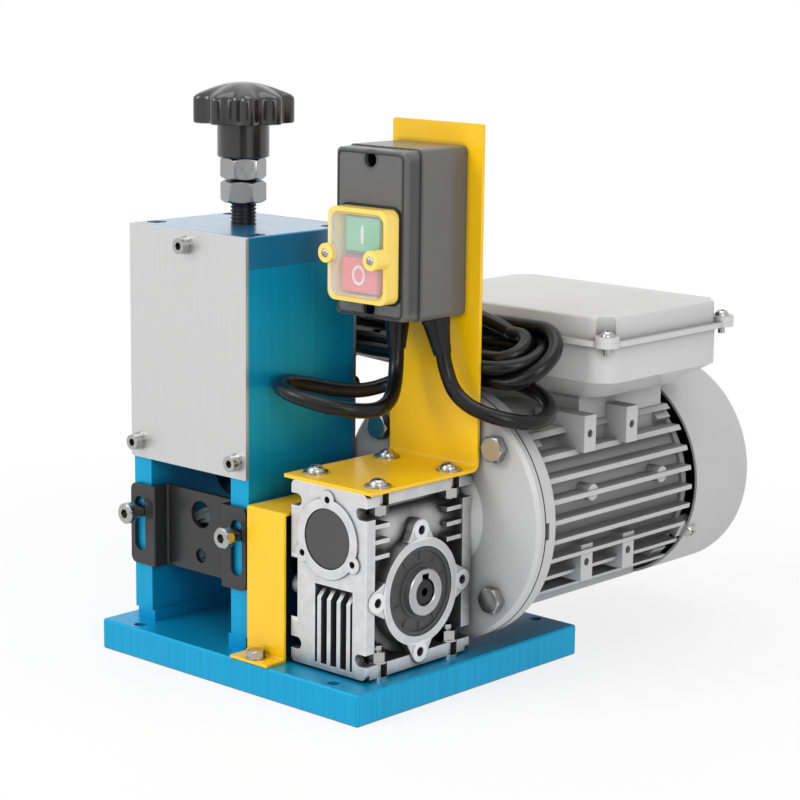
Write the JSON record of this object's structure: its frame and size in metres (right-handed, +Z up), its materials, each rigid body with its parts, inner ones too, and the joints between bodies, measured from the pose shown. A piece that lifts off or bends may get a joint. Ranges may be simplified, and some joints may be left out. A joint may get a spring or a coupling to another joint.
{
  "type": "wire stripping machine",
  "caption": "Bench wire stripper: a screw-set cutter over a feed roller in a two-plate head, driven through a worm gearbox by a flange motor, with a push-button switch.",
  "frame": {"origin": "centre of the base plate's underside", "axes": "+X to the right along the front edge and along the drive shaft, +Y back along the motor axis, +Z up"},
  "size_m": [0.236, 0.3085, 0.3105],
  "materials": {
    "blue_aluminium": "blue anodised, brushed",
    "steel_sheet": "sheet, fine brushed",
    "black_paint": "satin powder coat",
    "yellow_paint": "satin powder coat",
    "machined_steel": "machined",
    "plated_steel": "zinc plated",
    "black_oxide": "black oxide",
    "cast_aluminium": "cast",
    "grey_paint": "satin paint",
    "silver_paint": "satin paint",
    "bronze": "cast",
    "copper_winding": "enamelled wire and iron",
    "tool_steel": "ground",
    "black_plastic": "moulded",
    "dark_grey_plastic": "moulded",
    "yellow_plastic": "moulded",
    "green_plastic": "moulded",
    "red_plastic": "moulded",
    "clear_plastic": "clear membrane",
    "rubber_seal": "moulded",
    "cord_jacket": "smooth jacket"
  },
  "bodies": {
    "machine": {"base_plate": "blue_aluminium", "left_side_plate": "blue_aluminium", "right_side_plate": "blue_aluminium", "top_block": "blue_aluminium", "frame_screws": "black_oxide", "front_cover": "steel_sheet", "rear_cover": "steel_sheet", "cover_screws": "plated_steel", "guide_screws": "plated_steel", "head_bearings": "machined_steel", "gearbox_housing": "cast_aluminium", "gearbox_cover": "cast_aluminium", "output_bearings": "machined_steel", "output_seals": "rubber_seal", "worm_bearings": "machined_steel", "worm_cap": "rubber_seal", "gearbox_studs": "plated_steel", "input_flange": "cast_aluminium", "flange_bolts": "plated_steel", "motor_shield": "grey_paint", "motor_frame": "grey_paint", "stator": "copper_winding", "motor_bearings": "machined_steel", "rear_shield": "grey_paint", "fan_cowl": "grey_paint", "motor_screws": "plated_steel", "terminal_box": "silver_paint", "terminal_lid": "silver_paint", "motor_gland": "black_plastic", "switch_bracket": "yellow_paint", "bracket_screws": "plated_steel", "switch_box": "dark_grey_plastic", "switch_cover": "dark_grey_plastic", "switch_bezel": "yellow_plastic", "lug_screws": "plated_steel", "switch_window": "clear_plastic", "coupling_guard": "yellow_paint", "guard_bolt": "plated_steel", "mains_cord": "cord_jacket", "mains_coil": "cord_jacket", "mains_plug": "black_plastic", "motor_lead": "cord_jacket", "cord_reliefs": "black_plastic"},
    "press": {"press_block": "black_oxide", "cutter_axle": "plated_steel"},
    "screw": {"adjusting_screw": "black_oxide", "screw_nuts": "plated_steel", "knob": "black_plastic"},
    "cutter": {"cutter": "tool_steel"},
    "drive": {"drive_shaft": "machined_steel", "shaft_keys": "machined_steel", "feed_roller": "machined_steel", "output_hub": "machined_steel", "worm_wheel": "bronze"},
    "rotor": {"rotor": "machined_steel", "worm": "machined_steel", "fan": "black_plastic"},
    "guide": {"guide_bracket": "black_paint"},
    "start": {"start_button": "green_plastic"},
    "stop": {"stop_button": "red_plastic"}
  },
  "joints": [
    {"name": "press_slide", "type": "slide", "parent": "machine", "child": "press", "axis": [0, 0, 1], "range_m": [-0.009, 0.018]},
    {"name": "screw_turn", "type": "hinge", "parent": "press", "child": "screw", "pos_m": [-0.043, -0.032, 0.2], "axis": [0, 0, 1], "range_deg": [-1620, 3240]},
    {"name": "cutter_spin", "type": "hinge", "parent": "press", "child": "cutter", "pos_m": [-0.043, -0.032, 0.1085], "axis": [1, 0, 0], "continuous": true},
    {"name": "rotor_spin", "type": "hinge", "parent": "machine", "child": "rotor", "pos_m": [0.061, 0.06, 0.0885], "axis": [0, 1, 0], "continuous": true},
    {"name": "drive_spin", "type": "hinge", "parent": "machine", "child": "drive", "pos_m": [-0.043, -0.032, 0.0585], "axis": [1, 0, 0], "continuous": true},
    {"name": "guide_slide", "type": "slide", "parent": "machine", "child": "guide", "axis": [0, 0, 1], "range_m": [-0.0037, 0.0145]},
    {"name": "start_press", "type": "slide", "parent": "machine", "child": "start", "axis": [0, 1, 0], "range_m": [0, 0.003], "stiffness_N_per_m": 800, "springref_m": -0.001},
    {"name": "stop_press", "type": "slide", "parent": "machine", "child": "stop", "axis": [0, 1, 0], "range_m": [0, 0.003], "stiffness_N_per_m": 800, "springref_m": -0.001}
  ],
  "couplings": [
    {"joint": "screw_turn", "follows": "press_slide", "rad_per_m": 3141.6},
    {"joint": "drive_spin", "follows": "rotor_spin", "ratio": 0.033333}
  ]
}
